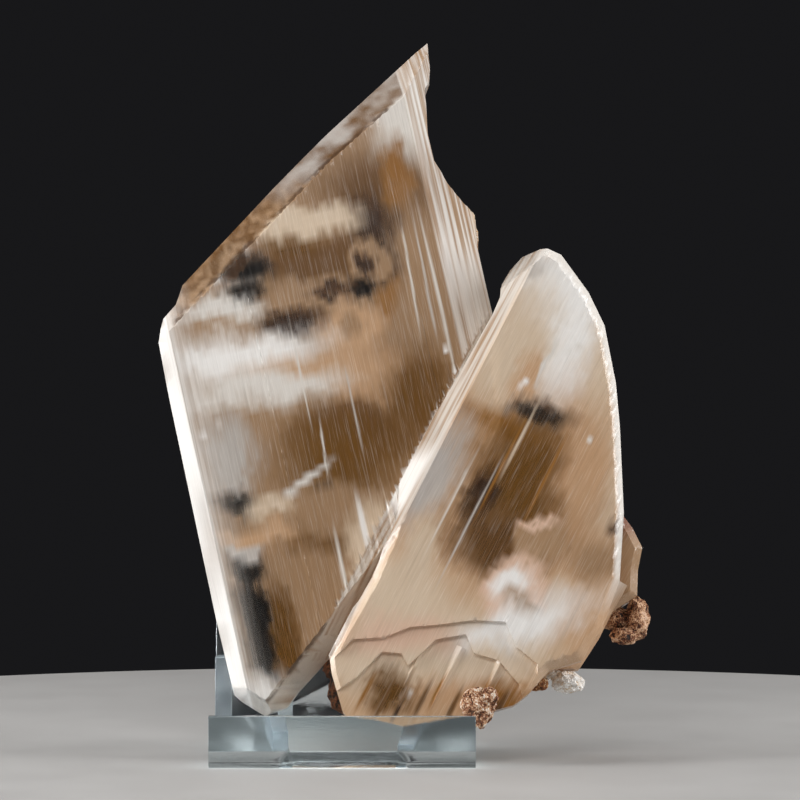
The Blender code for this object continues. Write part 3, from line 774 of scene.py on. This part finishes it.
acrylic = {
    "bevel": 0.35,          # mm, the polished edges' softening
    "index": 1.49,          # how strongly the sheet bends light
    "tint": (0.90, 0.965, 0.985, 1.0),
    "shadowTint": (0.93, 0.97, 0.98, 1.0),
    "frost": (tone(120, 136, 148), tone(214, 222, 228)),
    "scratches": (0.4, 2.0, 6.0),      # waves to a mm along x, y and z
}

clearSheets = {
    "slot": "clear_acrylic", "rough": 0.03, "veil": 0.03,
    "pieces": {"stand_tray": "clearTray", "stand_back_plate": "clearBackPlate"},
}

sawnSheets = {
    "slot": "sawn_acrylic", "rough": 0.18, "veil": 0.35,
    "pieces": {
        "stand_rib_left": "leftRib", "stand_rib_right": "rightRib",
        "stand_side_left": "leftSidePlate", "stand_side_right": "rightSidePlate",
    },
}


def acrylicFinish(name, rough, veil):
    finish = Finish(name)
    point = finish.scaled(finish.place(), 1 / mm)
    smears = finish.noise(point, 0.12, 4.0, 0.6)
    scratches = finish.noise(finish.stretched(point, acrylic["scratches"]), 1.0, 2.0, 0.5)
    normal = finish.bump(scratches, 0.05 * mm, 0.3)
    glass = finish.node("ShaderNodeBsdfPrincipled", sockets={
        "Base Color": acrylic["tint"], "Roughness": rough, "IOR": acrylic["index"],
        "Transmission Weight": 1.0, "Normal": normal,
    })
    frost = finish.node("ShaderNodeBsdfPrincipled", sockets={
        "Base Color": finish.tint(smears, *acrylic["frost"]), "Roughness": 0.5,
        "IOR": acrylic["index"], "Normal": normal,
    })
    share = (smears.ease(0.48, 0.72) * 0.5 + 0.5) * veil
    body = finish.node("ShaderNodeMixShader", None, share, glass, frost)
    return finish.surface(finish.litThrough(body, share, acrylic["shadowTint"]))


def polishSheets(sheets):
    material = acrylicFinish(sheets["slot"].replace("_", " "), sheets["rough"], sheets["veil"])
    for name, piece in sheets["pieces"].items():
        sheet = copyOf(name, piece)
        bpy.ops.object.mode_set(mode="EDIT")
        bpy.ops.mesh.select_all(action="SELECT")
        bpy.ops.mesh.dissolve_limited(angle_limit=math.radians(1.0))
        bpy.ops.object.mode_set(mode="OBJECT")
        edges = sheet.modifiers.new("polished edges", "BEVEL")
        edges.width = acrylic["bevel"] * mm
        edges.segments = 2
        edges.limit_method = "ANGLE"
        edges.angle_limit = math.radians(35)
        bpy.ops.object.modifier_apply(modifier=edges.name)
        bpy.ops.object.shade_smooth_by_angle(angle=math.radians(35))
        sheet.data.materials.append(material)
        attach(sheet, "root")
        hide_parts(name)


# Floor, lights and camera, in metres

studioFloor = {
    "radius": 0.30, "thickness": 0.012, "sides": 160,
    "tones": (tone(164, 162, 160), tone(178, 176, 174)),
}
studioLights = {
    # place, size and watts
    "leftSoftbox": ((-0.70, -0.12, 0.22), (0.30, 0.50), 6.2),
    "rightSoftbox": ((0.70, -0.12, 0.34), (0.25, 0.55), 4.5),
    "frontFill": ((-0.10, -0.85, 0.80), (0.7, 0.4), 5.6),
    "topLight": ((0.0, 0.15, 0.75), (0.6, 0.4), 2.0),
}
lightsAim = (0.0, 0.0, 0.09)
surroundings = (0.009, 0.009, 0.010, 1.0)
eye = {"distance": 1.3, "elevation": math.radians(1.5), "x": -0.0014, "height": 0.1042, "lens": 200.0}


def layFloor():
    bpy.ops.object.select_all(action="DESELECT")
    place = (0, 0, -studioFloor["thickness"] / 2)
    bpy.ops.mesh.primitive_cylinder_add(
        vertices=studioFloor["sides"], radius=studioFloor["radius"], depth=studioFloor["thickness"],
        location=place)
    floor = bpy.context.active_object
    floor.name = "paleFloor"
    bpy.ops.object.transform_apply(location=True, rotation=True, scale=True)
    finish = Finish("pale floor")
    mottle = finish.noise(finish.place(), 30.0, 4.0, 0.6)
    shader = finish.node("ShaderNodeBsdfPrincipled", sockets={
        "Base Color": finish.tint(mottle, *studioFloor["tones"]), "Roughness": mottle * 0.2 + 0.5,
    })
    floor.data.materials.append(finish.surface(shader))


def hangLights():
    world = bpy.data.worlds.new("dim studio")
    world.use_nodes = True
    world.node_tree.nodes["Background"].inputs["Color"].default_value = surroundings
    bpy.context.scene.world = world
    bpy.context.scene.view_settings.view_transform = "Standard"
    for name, (place, size, watts) in studioLights.items():
        lamp = bpy.data.lights.new(name, "AREA")
        lamp.shape = "RECTANGLE"
        lamp.size, lamp.size_y = size
        lamp.energy = watts
        holder = bpy.data.objects.new(name, lamp)
        bpy.context.scene.collection.objects.link(holder)
        holder.location = place
        aim = Vector(lightsAim) - Vector(place)
        holder.rotation_euler = aim.to_track_quat("-Z", "Y").to_euler()


def setCamera():
    lens = bpy.data.cameras.new("photo view")
    lens.lens = eye["lens"]
    lens.sensor_width = 36.0
    lens.clip_start, lens.clip_end = 0.05, 20.0
    camera = bpy.data.objects.new("photo view", lens)
    bpy.context.scene.collection.objects.link(camera)
    away, lift = math.cos(eye["elevation"]), math.sin(eye["elevation"])
    camera.location = (eye["x"], -eye["distance"] * away, eye["height"] + eye["distance"] * lift)
    camera.rotation_euler = (math.pi / 2 - eye["elevation"], 0.0, 0.0)
    bpy.context.scene.camera = camera


crystals = growBlades()
paintClouds(crystals)
crystals.data.materials.append(seleniteFinish())
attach(crystals, "root")
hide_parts("selenite_blades")
print("crystals dressed")

for name, (piece, slot, tones) in scraps.items():
    roughenScrap(name, piece, tones)
print("matrix scraps roughened")

polishSheets(clearSheets)
polishSheets(sawnSheets)
print("stand polished")

layFloor()
hangLights()
setCamera()
print("studio set")
